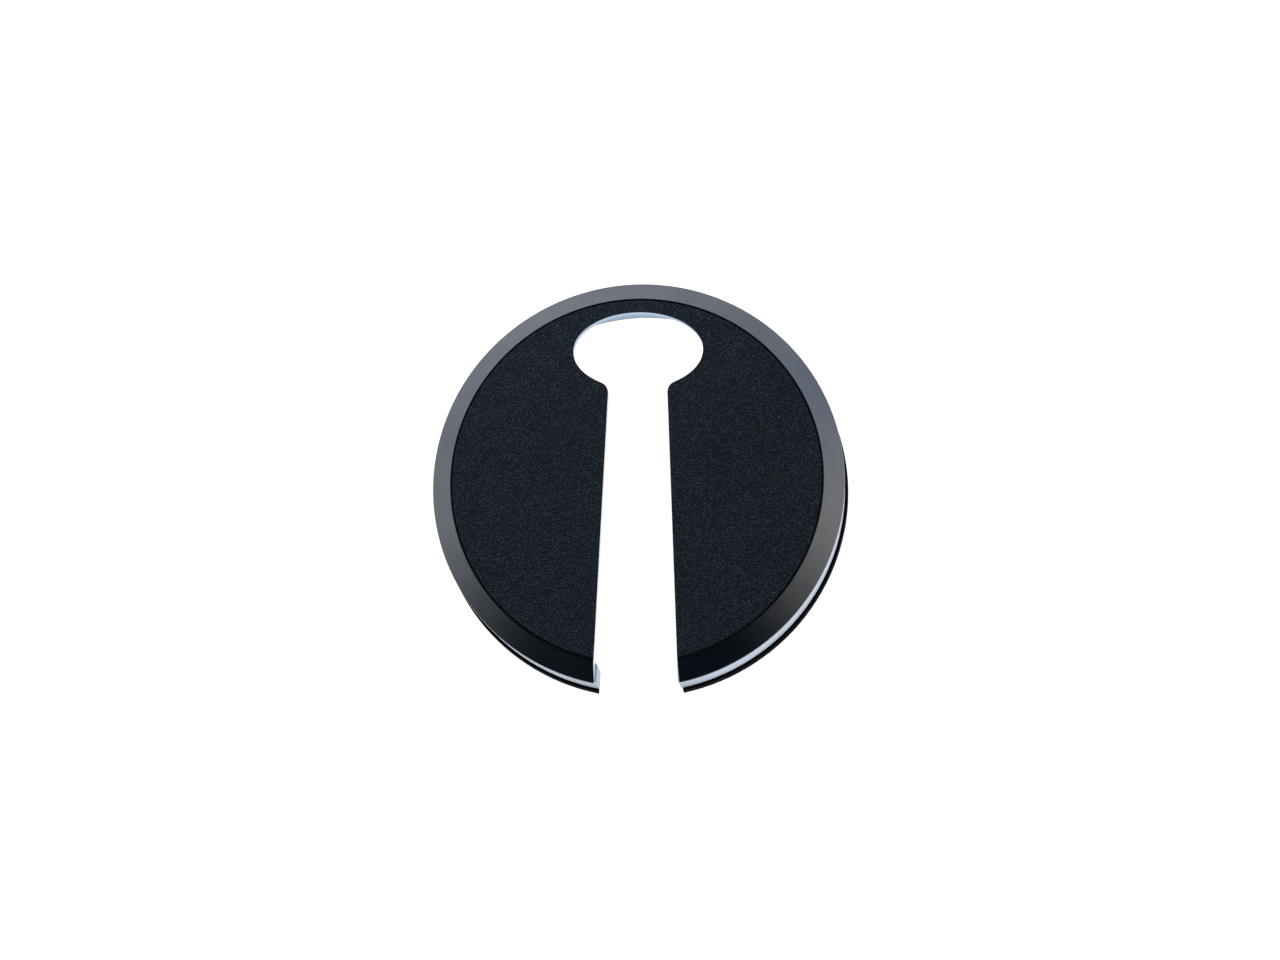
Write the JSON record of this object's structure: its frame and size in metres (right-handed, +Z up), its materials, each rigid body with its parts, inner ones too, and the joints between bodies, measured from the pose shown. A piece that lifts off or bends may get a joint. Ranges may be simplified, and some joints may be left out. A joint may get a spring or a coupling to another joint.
{
  "type": "desk grommet",
  "caption": "Round raised desk grommet with a bevelled cover, a keyhole cable cut-out open at the front rim, a pale spacer ring, a soft base ring and spring clips for the desk hole.",
  "frame": {"origin": "on the axis of the desk hole, in the plane of the desk surface, which is the underside of the base ring", "axes": "+Z up out of the desk; +Y towards the oval cable hole; the slot opens at the rim towards -Y; +X to the right seen from above with the slot towards the viewer"},
  "size_m": [0.09, 0.089, 0.0279],
  "materials": {
    "cover": "black anodised, smooth satin bevel",
    "inlay": "black sheet with a fine pebbled grain, matte",
    "spacer": "pale satin anodised aluminium",
    "base": "black matte rubber",
    "screws": "zinc plated steel",
    "clips": "bright spring steel strip"
  },
  "bodies": {
    "grommet": {"cover_plate": "cover", "top_inlay": "inlay", "spacer_ring": "spacer", "base_ring": "base", "ring_screws": "screws", "clip_screws": "screws"},
    "right_back_clip": {"right_back_clip": "clips"},
    "left_back_clip": {"left_back_clip": "clips"},
    "left_front_clip": {"left_front_clip": "clips"},
    "right_front_clip": {"right_front_clip": "clips"}
  },
  "joints": [
    {"name": "right_back_clip_flex", "type": "slide", "parent": "grommet", "child": "right_back_clip", "axis": [-0.866, -0.5, 0], "range_m": [0, 0.0012], "stiffness_N_per_m": 2500},
    {"name": "left_back_clip_flex", "type": "slide", "parent": "grommet", "child": "left_back_clip", "axis": [0.866, -0.5, 0], "range_m": [0, 0.0012], "stiffness_N_per_m": 2500},
    {"name": "left_front_clip_flex", "type": "slide", "parent": "grommet", "child": "left_front_clip", "axis": [0.8192, 0.5736, 0], "range_m": [0, 0.0012], "stiffness_N_per_m": 2500},
    {"name": "right_front_clip_flex", "type": "slide", "parent": "grommet", "child": "right_front_clip", "axis": [-0.8192, 0.5736, 0], "range_m": [0, 0.0012], "stiffness_N_per_m": 2500}
  ]
}
